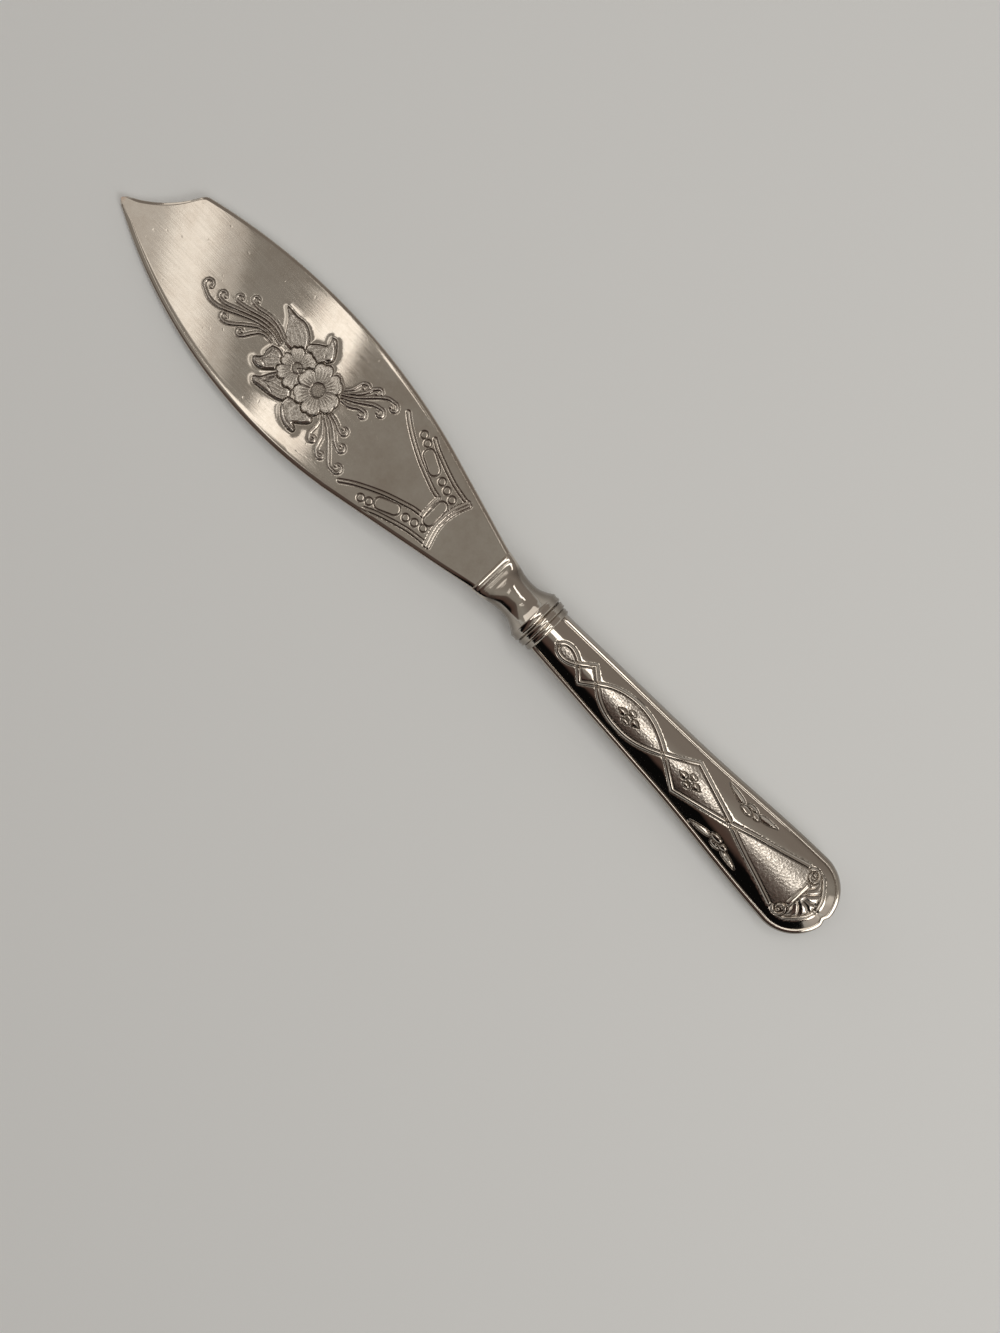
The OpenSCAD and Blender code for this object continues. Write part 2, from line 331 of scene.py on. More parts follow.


# How far each point is tarnished or painted with shade, matted and painted paler, or worn to the copper, for
# the material to read
def setMarks(bm, **marks):
    for key, values in marks.items():
        layer = bm.verts.layers.float.new(key)
        for v in bm.verts:
            v[layer] = values[v.index]


# Puts a finished bmesh into the scene as a piece that stands for one CAD node
def addPiece(name, bm, place, material, node, sharp=38):
    bmesh.ops.transform(bm, matrix=place, verts=bm.verts)
    mesh = bpy.data.meshes.new(name)
    bm.to_mesh(mesh)
    bm.free()
    mesh.shade_smooth()
    mesh.set_sharp_from_angle(angle=math.radians(sharp))
    piece = bpy.data.objects.new(name, mesh)
    bpy.context.scene.collection.objects.link(piece)
    mesh.materials.append(material)
    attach(piece, "root")
    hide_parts(node)
    print(name, "has", sum(len(p.vertices) - 2 for p in mesh.polygons), "triangles")
    return piece


# Silver plate: brushed by wear, clouded by tarnish, darkest in the hollows of the chasing where old polish
# stays; painted shade darkens steep sides and turned-over leaf edges, and a painted sheen makes matted
# places paler
silverLook = {
    "clean": (0.58, 0.53, 0.47, 1),
    "clouded": (0.45, 0.385, 0.325, 1),
    "hollow": (0.13, 0.108, 0.09, 1),
    "frostedSheen": (0.86, 0.805, 0.74, 1),
    "stippled": (0.44, 0.395, 0.345, 1),
    "copper": (0.50, 0.28, 0.17, 1),
}


# A node's input takes a value, or the output of another node
def feed(tree, socket, value):
    if isinstance(value, bpy.types.NodeSocket):
        tree.links.new(value, socket)
    else:
        socket.default_value = value


def addNode(tree, kind, **values):
    made = tree.nodes.new(kind)
    for key, value in values.items():
        if hasattr(made, key):
            setattr(made, key, value)
        else:
            feed(tree, made.inputs[key.replace("_", " ")], value)
    return made


def noise(tree, spot, scale, detail, rough=0.5):
    made = addNode(tree, "ShaderNodeTexNoise", Vector=spot, Scale=scale, Detail=detail, Roughness=rough)
    return made.outputs["Fac"]


def ranged(tree, value, low, high, least=0.0, most=1.0):
    made = addNode(tree, "ShaderNodeMapRange", Value=value, From_Min=low, From_Max=high,
                   To_Min=least, To_Max=most)
    return made.outputs["Result"]


def mixed(tree, share, first, second):
    made = addNode(tree, "ShaderNodeMix", data_type="RGBA", Factor=share)
    feed(tree, made.inputs[6], first)
    feed(tree, made.inputs[7], second)
    return made.outputs[2]


def reckon(tree, operation, *values):
    made = addNode(tree, "ShaderNodeMath", operation=operation)
    for socket, value in zip(made.inputs, values):
        feed(tree, socket, value)
    return made.outputs[0]


def ramped(tree, value, stops):
    made = addNode(tree, "ShaderNodeValToRGB", Fac=value)
    first, last = made.color_ramp.elements
    first.position, first.color = stops[0]
    last.position, last.color = stops[-1]
    for position, colour in stops[1:-1]:
        made.color_ramp.elements.new(position).color = colour
    return made.outputs["Color"]


def newMaterial(name, **values):
    material = bpy.data.materials.new(name)
    material.use_nodes = True
    tree = material.node_tree
    shader = tree.nodes["Principled BSDF"]
    for key, value in values.items():
        feed(tree, shader.inputs[key.replace("_", " ")], value)
    return material, tree, shader.inputs


def silver(name, smooth, worn, cloud, brush):
    material, tree, surface = newMaterial(name, Metallic=1)
    spot = addNode(tree, "ShaderNodeTexCoord").outputs["Object"]

    # hair scratches, drawn out along the piece
    stretch = addNode(tree, "ShaderNodeMapping", Vector=spot, Scale=brush)
    hair = noise(tree, stretch.outputs["Vector"], scale=1.0, detail=3.0, rough=0.65)
    scratched = ranged(tree, hair, 0.35, 0.75, smooth, worn)

    # tarnish in soft clouds and small spots
    clouds = noise(tree, spot, scale=60.0, detail=6.0, rough=0.78)
    clouded = ranged(tree, clouds, 0.42, 0.74, 0.0, cloud)
    shade = mixed(tree, clouded, silverLook["clean"], silverLook["clouded"])

    # matted silver is grained and painted paler as a sheen, hollows hold old polish and painted shade,
    # and copper shows at a worn corner
    grain = noise(tree, spot, scale=2400.0, detail=2.0)
    frostedSheen = mixed(tree, ranged(tree, grain, 0.36, 0.62), silverLook["stippled"], silverLook["frostedSheen"])
    finishes = {"matt": frostedSheen, "hollow": silverLook["hollow"], "copper": silverLook["copper"]}
    marks = {}
    for key, colour in finishes.items():
        marks[key] = addNode(tree, "ShaderNodeAttribute", attribute_name=key).outputs["Fac"]
        shade = mixed(tree, marks[key], shade, colour)
    feed(tree, surface["Base Color"], shade)
    rough = reckon(tree, "MULTIPLY_ADD", marks["hollow"], 0.25, scratched)
    feed(tree, surface["Roughness"], reckon(tree, "MULTIPLY_ADD", marks["matt"], 0.2, rough))

    # pits, and the fine grain of matted places
    pits = ranged(tree, noise(tree, spot, scale=620.0, detail=1.0), 0.72, 0.82)
    worked = reckon(tree, "MULTIPLY_ADD", pits, -1.5, hair)
    dent = addNode(tree, "ShaderNodeBump", Strength=0.07, Distance=0.00005, Height=worked)
    frost = reckon(tree, "MULTIPLY", grain, marks["matt"])
    stipple = addNode(tree, "ShaderNodeBump", Strength=0.7, Distance=0.00009, Height=frost,
                      Normal=dent.outputs["Normal"])
    feed(tree, surface["Normal"], stipple.outputs["Normal"])
    return material


# Blade, in millimetres from the lip along the blade: x towards the tip, +y the side with the long edge
blade = {
    "thick": 1.5,
    "rootIn": 1.2,
    "tongueHalf": 5.0,
    "tipSideBorder": 1.5,
    "heelSideBorder": 1.0,
    "borderDrop": 0.4,
    "borderCurve": 2.5,
    "borderBead": 0.045,
    "beadEnd": 64.0,
    "beadFade": 12.0,
    "edgeRound": 0.2,
    "tipIn": 0.04,
    "columns": 136,
    "rows": 50,
    "borderRows": 8,
    "refineReach": (2.4, 1.3, 0.62),
    "copperReach": 1.6,
    "copperMost": 0.5,
    "scratches": (((48.9, -4.0), (43.3, -1.4), (38.2, 1.5), (34.1, 4.7)),
                  ((45.2, -5.2), (42.4, -6.0)), ((57.0, 15.2), (46.0, 12.8))),
    "scratchWide": 0.18,
    "scratchDeep": 0.012,
    "waves": ((0.018, 6.5, 9.0), (0.014, 11.0, -4.5)),
    "rootDrop": 0.4,
    "rootFacet": 11.0,
}

flower = {
    "middle": (63.9, 0.6),
    "eye": 1.8,
    "petals": ((-7, 6.1), (58, 6.4), (108, 6.5), (178, 6.4), (246, 6.5), (297, 7.0)),
    "widestHalf": 0.7,
    "height": 0.34,
    "secondMiddle": (71.8, 0.5),
    "secondEye": 1.3,
    "secondPetals": ((-100, 5.2), (-46, 5.4), (4, 4.8), (56, 5.4), (108, 5.6)),
    "secondHeight": 0.272,
    "seedsPerArea": 14,
    "seedReach": 0.88,
    "seedTurn": 2.39996,
    "skirt": 1.7,
    "skirtRise": 0.12,
}

# Outlines of the leaves, each with its base and tip, and the parts of its edge that turn over
leaves = (
    {"outline": [(84.7, -8.6), (81.2, -8.5), (78.9, -8.8), (76.8, -8.2), (74.8, -6.7), (73.8, -4.5),
                 (75.6, -2.1), (78.8, -1.9), (80.4, -3.9), (82.4, -6.8)],
     "base": (75.2, -3.9), "tip": (84.7, -8.6), "folds": ()},
    {"outline": [(70.7, -11.3), (70.1, -9.1), (72.1, -7.5), (73.6, -6.0), (73.2, -4.5), (69.6, -3.8),
                 (67.7, -5.5), (66.8, -7.1), (67.1, -8.7), (68.3, -10.3), (69.7, -11.5)],
     "base": (70.5, -4.3), "tip": (70.1, -11.4),
     "folds": (([(70.5, -11.1), (68.5, -10.2), (67.0, -8.7), (66.6, -7.1), (68.0, -6.3), (69.1, -7.6),
                 (69.7, -9.3)], 0.16),)},
    {"outline": [(80.3, 1.2), (80.6, 3.2), (80.3, 4.8), (81.9, 6.6), (80.8, 7.5), (78.7, 7.3), (76.8, 5.8),
                 (75.3, 3.7), (76.6, 1.4), (78.6, 0.7)],
     "base": (76.8, 2.2), "tip": (81.7, 7.0),
     "folds": (([(80.4, 1.4), (79.6, 1.2), (79.2, 2.6), (79.6, 4.5), (80.2, 4.9), (80.5, 3.2)], -0.2),
               ([(81.6, 6.8), (80.4, 5.5), (78.4, 6.0), (79.1, 7.2), (80.7, 7.4)], 0.14))},
    {"outline": [(74.9, 5.3), (75.9, 6.9), (76.8, 8.7), (78.3, 10.0), (77.6, 10.9), (75.8, 10.8),
                 (73.0, 10.4), (70.3, 9.8), (68.3, 8.7), (68.1, 7.1), (69.4, 5.4), (71.8, 5.5)],
     "base": (69.4, 6.7), "tip": (78.2, 10.4),
     "folds": (([(75.7, 7.1), (74.9, 5.9), (73.9, 6.3), (74.5, 7.9), (75.9, 8.6)], -0.2),
               ([(78.1, 10.1), (76.8, 9.2), (73.9, 9.1), (72.2, 9.6), (74.4, 10.4), (77.3, 10.8)], 0.14))},
    {"outline": [(68.1, 7.3), (68.3, 9.1), (67.3, 10.9), (65.2, 12.3), (62.9, 12.8), (61.2, 12.5),
                 (61.3, 11.6), (62.7, 10.9), (60.9, 9.3), (59.6, 7.8), (59.9, 6.7), (62.1, 6.4),
                 (65.1, 6.3)],
     "base": (64.7, 6.5), "tip": (61.3, 12.2),
     "folds": (([(67.7, 9.6), (65.3, 11.3), (63.1, 11.7), (61.4, 11.8), (61.5, 12.5), (64.8, 12.3),
                 (66.9, 11.1)], 0.14),)},
)

# the leaves are also painted paler, a painted sheen
leafLook = {"height": 0.36, "fold": 0.25, "matt": 0.8}

# Tendrils: a run of points, then a curl of a radius to one side
tendrilsAhead = (
    ([(79.4, -2.5), (82.5, -3.5), (85.1, -3.8), (87.7, -3.5), (89.8, -3.0), (91.8, -3.0)], 1.05, -1),
    ([(79.5, -1.7), (82.8, -2.7), (86.2, -2.6), (89.1, -1.8), (92.0, -0.9), (95.0, -0.3)], 1.1, -1),
    ([(79.5, -1.1), (83.4, -1.8), (87.3, -1.4), (91.2, 0.0), (94.7, 1.5), (97.1, 2.4), (98.9, 2.5)],
     1.25, -1),
    ([(79.5, -0.5), (83.4, -1.1), (87.8, -0.3), (92.1, 1.5), (95.5, 3.2), (98.4, 4.3), (101.3, 4.4),
      (104.2, 3.3)], 1.5, -1),
    ([(82.9, -0.2), (86.0, 0.2), (88.1, 1.5), (90.3, 3.3), (92.4, 5.1), (93.8, 5.8), (95.0, 5.9)],
     1.1, -1),
    ([(81.6, 0.6), (83.7, 0.5), (85.3, 1.2), (86.6, 2.8), (87.7, 4.6), (88.5, 5.4)], 1.0, -1),
)
tendrilsAbove = (
    ([(59.2, -4.4), (57.8, -6.1), (57.3, -7.9), (56.9, -9.1), (56.1, -9.7)], 1.0, -1),
    ([(58.4, -3.9), (56.0, -6.2), (54.6, -8.2), (54.0, -9.8), (53.2, -10.9)], 1.05, -1),
    ([(58.7, -3.3), (55.5, -5.6), (53.2, -7.9), (51.3, -9.8), (49.5, -11.1), (47.2, -11.6)], 1.25, -1),
    ([(58.4, -2.7), (55.3, -4.4), (52.7, -6.2), (50.9, -7.4), (48.8, -8.0)], 1.15, -1),
    ([(58.2, -2.1), (56.1, -2.3), (54.6, -3.0), (53.3, -3.9), (51.8, -4.3)], 1.05, -1),
)
tendrilsBelow = (
    ([(58.3, 2.1), (56.2, 2.4), (54.4, 2.9), (53.0, 3.5), (52.0, 3.8)], 1.05, 1),
    ([(58.3, 2.8), (55.7, 3.5), (53.4, 4.9), (51.7, 6.3), (49.6, 7.3)], 1.15, 1),
    ([(58.6, 3.5), (55.8, 5.1), (53.2, 7.1), (51.2, 9.0), (49.4, 10.8), (47.9, 11.8), (46.2, 11.9)],
     1.35, 1),
    ([(58.8, 4.1), (56.6, 5.8), (55.0, 7.7), (54.3, 9.7), (53.6, 11.2), (52.3, 12.2)], 1.0, 1),
    ([(59.1, 4.4), (58.0, 5.8), (57.8, 7.6), (57.7, 9.3), (57.0, 10.5)], 0.95, 1),
)
# pale paints the tendrils' tops paler, a painted highlight
tendril = {"wide": 0.68, "thin": 0.5, "height": 0.15, "cut": 0.08, "dark": 0.7, "pale": 0.5}
tendrilBead = {"radius": 0.44, "height": 0.15, "cut": 0.056}

# Engraved crown near the root: one side drawn, the other its mirror image
crown = {
    "outer": [(33.8, 12.6), (31.2, 11.3), (28.2, 10.2), (24.9, 9.1), (21.2, 8.1), (15.8, 7.3)],
    "inner": [(43.6, 12.4), (41.1, 10.6), (38.4, 9.0), (35.3, 7.4), (32.0, 5.9), (28.4, 4.6),
              (25.1, 3.5), (22.4, 3.0)],
    "foot": [(15.5, -7.4), (16.8, -3.7), (17.3, -0.1), (16.9, 3.3), (15.5, 7.5)],
    "bar": [(22.5, -3.0), (22.5, 0.0), (22.2, 3.1)],
    "rings": ((36.6, 11.4), (34.4, 10.5), (24.8, 6.5), (22.3, 5.8), (19.7, 5.1)),
    "ringRadius": 1.0,
    "panel": ((32.0, 8.8), (28.4, 7.1)),
    "panelRadius": 1.6,
    "middlePanel": ((20.2, -2.0), (20.1, 2.7)),
    "middleRadius": 1.5,
    "line": 0.5,
    "deep": 0.13,
    "band": 0.78,
    "bandRise": 0.06,
}


# Raised bands of the crown, and the lines cut round its beads and panels
def crownBands():
    bands = [*mirrored(flow(crown["outer"])), *mirrored(flow(crown["inner"]))]
    foot = flow(crown["foot"])
    return bands + [foot, beside(foot, -crown["band"]), flow(crown["bar"])]


def crownLines():
    lines = [pill(*crown["middlePanel"], crown["middleRadius"])]
    for middles, panel in zip(mirrored(crown["rings"]), mirrored(crown["panel"])):
        lines += [ring(middle, crown["ringRadius"]) for middle in middles]
        lines.append(pill(*panel, crown["panelRadius"]))
    return lines


def tendrilRuns():
    every = tendrilsAhead + tendrilsAbove + tendrilsBelow
    return [curl(flow(points), radius, side) for points, radius, side in every]


def leafOutline(shape):
    return flow(shape["outline"] + shape["outline"][:1], 5)[:-1]


# Where the chasing is: points along every line, and over the flower and its leaves
def bladeDetail():
    spots = tendrilRuns() + crownBands() + crownLines()
    spots += [flow(s) for s in blade["scratches"]]
    for outline in map(leafOutline, leaves):
        for share in (1, 0.7, 0.4, 0.1):
            spots.append(outline.mean(0) + (outline - outline.mean(0)) * share)
    for middle, reach in ((flower["middle"], 7), (flower["secondMiddle"], 5.2)):
        for radius in np.arange(0.4, reach, 0.8):
            spots.append(ring(middle, radius, 48))
    return evenly(spots, 0.35)


def chaseBlade(sheet):
    for shape in leaves:
        leaf(sheet, leafOutline(shape), shape["base"], shape["tip"], **leafLook)
        for points, height in shape["folds"]:
            turnover(sheet, points, height)
    for path in tendrilRuns():
        strand(sheet, path, **tendril)
        dot(sheet, path[-1], **tendrilBead)
    bloom(sheet, flower["secondMiddle"], flower["secondEye"], flower["secondPetals"], flower["secondHeight"])
    bloom(sheet, flower["middle"], flower["eye"], flower["petals"], flower["height"])
    skirt = np.clip(1 - sheet["off"] / flower["skirt"], 0, 1)
    sheet["rise"] += flower["skirtRise"] * np.where(sheet["off"] > 0, skirt**2, 1)
    for path in crownBands():
        strand(sheet, path, crown["band"], crown["band"], crown["bandRise"], crown["deep"])
    for path in crownLines():
        cutLine(sheet, path, crown["line"], crown["deep"], 1)
    for points in blade["scratches"]:
        cutLine(sheet, flow(points), blade["scratchWide"], blade["scratchDeep"], 0)


# Small seeds over a flower's middle
def seeds(sheet, middle, radius):
    count = int(radius * radius * flower["seedsPerArea"])
    for i in range(count):
        out = radius * flower["seedReach"] * math.sqrt((i + 0.5) / count)
        turn = i * flower["seedTurn"]
        dotAt = np.asarray(middle) + out * np.array([math.cos(turn), math.sin(turn)])
        gap = np.hypot(*(sheet["xy"] - dotAt).T)
        near = np.flatnonzero(gap < 0.4)
        sheet["rise"][near] += 0.09 * bump(gap[near], 0, 0.17)
        darken(sheet, near, 0.5 * bump(gap[near], 0.32, 0.1))


# The two long edges of the blade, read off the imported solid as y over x
def bladeEdges(place):
    mesh = frame["nodes"]["blade"].data
    co = np.empty(len(mesh.vertices) * 3)
    mesh.vertices.foreach_get("co", co)
    back = np.array(place.inverted())
    co = co.reshape(-1, 3) @ back[:3, :3].T + back[:3, 3]
    pastTongue = (co[:, 0] > 0.05) | ((co[:, 0] > -0.05) & (np.abs(co[:, 1]) > blade["tongueHalf"]))
    foot = co[(co[:, 2] < co[:, 2].min() + 0.05) & pastTongue][:, :2]
    tip = foot[foot[:, 0].argmax()]
    upper = foot[:, 1] > foot[:, 0] * tip[1] / tip[0] - 0.001
    edges = []
    for part in (foot[~upper], foot[upper]):
        part = np.vstack([part, tip])
        part = part[np.unique(np.round(part[:, 0], 2), return_index=True)[1]]
        edges.append(flow(part, 6))
    return tip[0] - blade["tipIn"], edges[0], edges[1]


def makeBlade(material):
    place = bladePlace()
    tipX, lower, upper = bladeEdges(place)
    stations = np.linspace(0, tipX, 1400)
    low = np.interp(stations, lower[:, 0], lower[:, 1])
    high = np.interp(stations, upper[:, 0], upper[:, 1])
    lean = [np.hypot(1, np.clip(np.gradient(e, stations), -1.2, 1.2)) for e in (low, high)]
    inner = 1 - 2 * blade["borderRows"] / blade["rows"]

    def spot(a, b):
        a, b = a + 0.5, b * 2
        x = (tipX + blade["rootIn"]) * (a + 0.1 * np.sin(a * math.pi) * a) - blade["rootIn"]
        yLow, yHigh = np.interp(x, stations, low), np.interp(x, stations, high)
        half = (yHigh - yLow) / 2
        over = np.clip((np.abs(b) - inner) / (1 - inner), 0, 1)
        wide = np.where(b > 0, blade["tipSideBorder"] * np.interp(x, stations, lean[1]),
                        blade["heelSideBorder"] * np.interp(x, stations, lean[0]))
        wide = np.minimum(wide, half * 0.4)
        reach = np.minimum(np.abs(b) / inner, 1) * (half - wide) + over * wide
        return np.stack([x, (yLow + yHigh) / 2 + np.sign(b) * reach], axis=1), over

    def openSpot(a, b):
        xy, over = spot(a, b)
        return xy, over < 0.01

    bm = bmesh.new()
    bmesh.ops.create_grid(bm, x_segments=blade["columns"], y_segments=blade["rows"], size=0.5)
    detail = bladeDetail()
    refine(bm, openSpot, [(detail, reach) for reach in blade["refineReach"]])
    co = gridPoints(bm)
    xy, over = spot(co[:, 0], co[:, 1])
    sheet = newSheet(xy)
    chaseBlade(sheet)
    wave = sum(size * np.sin(xy[:, 0] / x + xy[:, 1] / y) for size, x, y in blade["waves"])
    tipSide = co[:, 1] > 0
    fall = np.where(tipSide, over ** blade["borderCurve"], np.clip((over - 0.2) / 0.8, 0, 1))
    slope = blade["borderDrop"] * fall + blade["edgeRound"] * ease((over - 0.85) / 0.15) ** 2
    bead = np.where(tipSide, 1, ease((blade["beadEnd"] - xy[:, 0]) / blade["beadFade"]))
    slope -= blade["borderBead"] * bump(over, 0.16, 0.1) * bead
    slope += blade["rootDrop"] * over * ease(1 - xy[:, 0] / blade["rootFacet"]) * tipSide
    setPoints(bm, np.column_stack([xy, blade["thick"] / 2 + sheet["rise"] + wave * (1 - over) - slope]))
    tip = xy[xy[:, 0].argmax()]
    copper = blade["copperMost"] * ease(1 - np.hypot(*(xy - tip).T) / blade["copperReach"])
    setMarks(bm, hollow=sheet["dark"], matt=sheet["matt"], copper=copper)

    # the edge and the underside
    rim = [e for e in bm.edges if e.is_boundary]
    wall = bmesh.ops.extrude_edge_only(bm, edges=rim)["geom"]
    shade, dull = (bm.verts.layers.float[key] for key in ("hollow", "matt"))
    for v in wall:
        if isinstance(v, bmesh.types.BMVert):
            v.co.z = -blade["thick"] / 2
            v[shade] = v[dull] = 0
    bmesh.ops.remove_doubles(bm, verts=bm.verts, dist=0.004)
    bmesh.ops.edgeloop_fill(bm, edges=[e for e in bm.edges if e.is_boundary])
    bmesh.ops.recalc_face_normals(bm, faces=bm.faces)
    return addPiece("cake_blade", bm, place, material, "blade")


# Rings of points along a line, bridged one to the next and closed at both ends
def loftRings(bm, rings, segments):
    loops = []
    for shape in rings:
        made = bmesh.ops.create_circle(bm, cap_ends=False, segments=segments, radius=1)["verts"]
        for v in made:
            v.co = shape(v.co.x, v.co.y)
        loops.append(list({e for v in made for e in v.link_edges}))
    for a, b in zip(loops, loops[1:]):
        bmesh.ops.bridge_loops(bm, edges=a + b)
    for end in (loops[0], loops[-1]):
        bmesh.ops.edgeloop_fill(bm, edges=end)
    bmesh.ops.recalc_face_normals(bm, faces=bm.faces)


# how dark, and from where, the sides of round pieces are painted as shade
sideShade = {"most": 0.7, "from": 0.6, "over": 0.3, "fade": 2.0}


# Painted shade: the sides of a round piece are painted darker, up to a place along it
def shadeSides(bm, upTo):
    shade = bm.verts.layers.float.new("hollow")
    for v in bm.verts:
        side = abs(v.co.y) / max(math.hypot(v.co.y, v.co.z), 0.01)
        left = ease((side - sideShade["from"]) / sideShade["over"])
        v[shade] = sideShade["most"] * float(left * ease((upTo - v.co.x) / sideShade["fade"] + 1))


# Bolster, in millimetres forward from the flange's back: half width and half height at each place
bolster = {
    "tang": ((-62, 1.5), (0, 2.6)),
    "flange": ((0.0, 6.9), (0.22, 7.25), (0.5, 7.52), (0.78, 7.6), (1.1, 7.5), (1.45, 7.46), (1.8, 7.5),
               (2.1, 7.6), (2.35, 7.5)),
    "neck": ((2.6, 7.25, 7.25), (3.2, 6.85, 6.8), (4.0, 6.35, 6.25), (5.3, 5.75, 5.6), (6.6, 5.4, 5.2),
             (8.5, 5.3, 5.0), (10.5, 5.45, 4.7), (11.8, 5.7, 4.15), (12.8, 5.95, 3.5), (13.6, 6.15, 2.95),
             (14.3, 6.3, 2.65)),
    "lipHalf": 6.85,
    "lipRise": 2.42,
    "beads": ((14.9, 0.07), (15.9, 0.09), (17.0, 0.16)),
    "beadSpread": 0.22,
    "lipSteps": 32,
    "lipEnd": 17.6,
    "segments": 96,
    "squareFrom": 9.5,
    "squareAt": 16.5,
    "squareness": 0.55,
    "lipRound": (0.4, 0.12),
    "lipEndIn": 0.25,
    "lipEndRise": 0.6,
    "shadeTo": 12.5,
}


def makeBolster(material):
    bend = bladeBend()
    stations = [(x, r, r) for x, r in bolster["tang"]]
    stations += [(x, r, r) for x, r in flow(bolster["flange"], 4)]
    stations += [tuple(s) for s in flow(bolster["neck"], 5)]
    neckX, neckHalf, neckRise = bolster["neck"][-1]
    roundDrop, roundSpread = bolster["lipRound"]
    for x in np.linspace(neckX, bolster["lipEnd"], bolster["lipSteps"])[1:]:
        share = (x - neckX) / (bolster["lipEnd"] - neckX)
        half = neckHalf + (bolster["lipHalf"] - neckHalf) * share
        rise = neckRise + (bolster["lipRise"] - neckRise) * ease(share * 5)
        rise += sum(high * bump(x, at, bolster["beadSpread"]) for at, high in bolster["beads"])
        stations.append((x, half, rise - roundDrop * bump(x, bolster["lipEnd"], roundSpread)))
    stations.append((bolster["lipEnd"], bolster["lipHalf"] - bolster["lipEndIn"], bolster["lipEndRise"]))
    neckStart, neckEnd = bolster["squareFrom"], bolster["squareAt"]

    def section(x, half, high):
        share = float(ease((x - neckStart) / (neckEnd - neckStart)))
        power = 1 - bolster["squareness"] * share
        turn = Matrix.Rotation(bend * share, 4, "Y")

        def shape(c, s):
            y = half * math.copysign(abs(c) ** power, c)
            z = high * math.copysign(abs(s) ** power, s)
            return Vector((x, 0, 0)) + turn @ Vector((0, y, z))
        return shape

    bm = bmesh.new()
    loftRings(bm, [section(*s) for s in stations], bolster["segments"])
    shadeSides(bm, bolster["shadeTo"])
    return addPiece("neck_bolster", bm, handlePlace(), material, "bolster")


# Ferrule, in millimetres forward from the flange's back: a ring of two beads, each with a raised back edge
ferrule = {
    "profile": ((-3.7, 6.42), (-3.7, 6.6), (-3.5, 6.78), (-3.25, 6.98), (-3.05, 7.0), (-2.85, 6.88),
                (-2.6, 6.94), (-2.35, 6.98), (-2.12, 6.9), (-1.95, 6.72), (-1.8, 6.95), (-1.6, 7.3),
                (-1.4, 7.32), (-1.2, 7.18), (-0.9, 7.28), (-0.6, 7.36), (-0.3, 7.28), (-0.06, 7.0),
                (-0.06, 6.42)),
    "steps": 120,
}


def makeFerrule(material):
    bm = bmesh.new()
    points = [bm.verts.new((x, 0, r)) for x, r in ferrule["profile"]]
    edges = [bm.edges.new((a, b)) for a, b in zip(points, points[1:] + points[:1])]
    bmesh.ops.spin(bm, geom=points + edges, cent=(0, 0, 0), axis=(1, 0, 0), angle=2 * math.pi,
                   steps=ferrule["steps"], use_merge=True)
    bmesh.ops.remove_doubles(bm, verts=bm.verts, dist=0.002)
    bmesh.ops.recalc_face_normals(bm, faces=bm.faces)
    shadeSides(bm, 0)
    return addPiece("bead_ferrule", bm, handlePlace(), material, "ferrule", 60)


# Handle, in millimetres back from the flange: half width, and the height of each half over the seam
handle = {
    "mouth": 3.7,
    "sideLength": 91.1,
    "mouthHalf": 6.35,
    "endHalf": 11.6,
    "swell": 0.2,
    "frontHeight": 4.6,
    "backHeight": 4.3,
    "mouthHeight": 6.2,
    "mouthDrop": 1.95,
    "endDrop": 2.9,
    "rim": 1.62,
    "shoulder": 0.85,
    "threadHeight": 0.2,
    "ledge": (0.58, 0.2),
    "bead": (0.82, 0.15),
    "groove": (1.12, 0.12),
    "shoulderShade": 0.65,
    "wall": 0.6,
    "notchDeep": 0.7,
    "notchWide": 0.085,
    "sideColumns": 98,
    "endColumns": 56,
    "panelRows": 10,
    "threadRows": 10,
    "shoulderRows": 7,
    "innerRows": 6,
    "refineReach": (1.5, 0.8, 0.72),
}

# Strapwork along the crown: half of each run, the other half its mirror image
strap = {
    "oval": [(7.4, 0.0), (8.6, 1.35), (10.6, 1.75), (12.6, 1.2), (14.5, 0.0)],
    "diamond": [(14.5, 0.0), (17.8, 3.05), (21.4, 0.0)],
    "longOval": [(21.4, 0.0), (24.5, 2.2), (28.5, 3.7), (33.0, 4.2), (37.5, 3.75), (41.8, 2.2), (45.9, 0.0)],
    "lozenge": [(45.9, 0.0), (53.9, 4.95), (70.4, 0.0)],
    "fan": [(70.4, 0.0), (75.0, 1.7), (79.7, 3.2), (84.5, 4.6), (89.0, 6.0), (92.0, 6.95)],
    "fanEnd": [(94.0, 4.4), (94.3, 0.0), (94.0, -4.4)],
    "wide": 1.05,
    "height": 0.3,
    "cut": 0.12,
}
palmette = {
    "scroll": (94.7, 5.85),
    "scrollRadius": 1.95,
    "scrollFrom": 150,
    "scrollTurns": 1.15,
    "scrollTight": 0.7,
    "ridge": [(96.0, 7.35), (97.3, 6.95), (98.6, 5.7), (99.95, 4.0), (101.0, 2.1), (101.5, 0.0)],
    "bar": [(95.1, -3.2), (95.0, 0.0), (95.1, 3.2)],
    "cuts": ([(96.2, 2.7), (97.1, 3.9), (97.3, 5.2), (96.7, 6.1)],
             [(96.5, 1.3), (97.8, 2.1), (98.8, 3.2), (99.3, 4.2)],
             [(97.3, 0.35), (98.8, 0.55), (100.0, 1.1)]),
    "height": 0.36,
    "matt": 0.4,
    "ridgeLook": {"wide": 0.95, "thin": 0.95, "height": 0.34, "cut": 0.12},
    "barLook": {"wide": 1.5, "thin": 1.5, "height": 0.34, "cut": 0.12},
    "scrollLook": {"wide": 0.8, "thin": 0.8, "height": 0.36, "cut": 0.16},
    "scrollBead": {"radius": 0.55, "height": 0.42, "cut": 0.1},
}
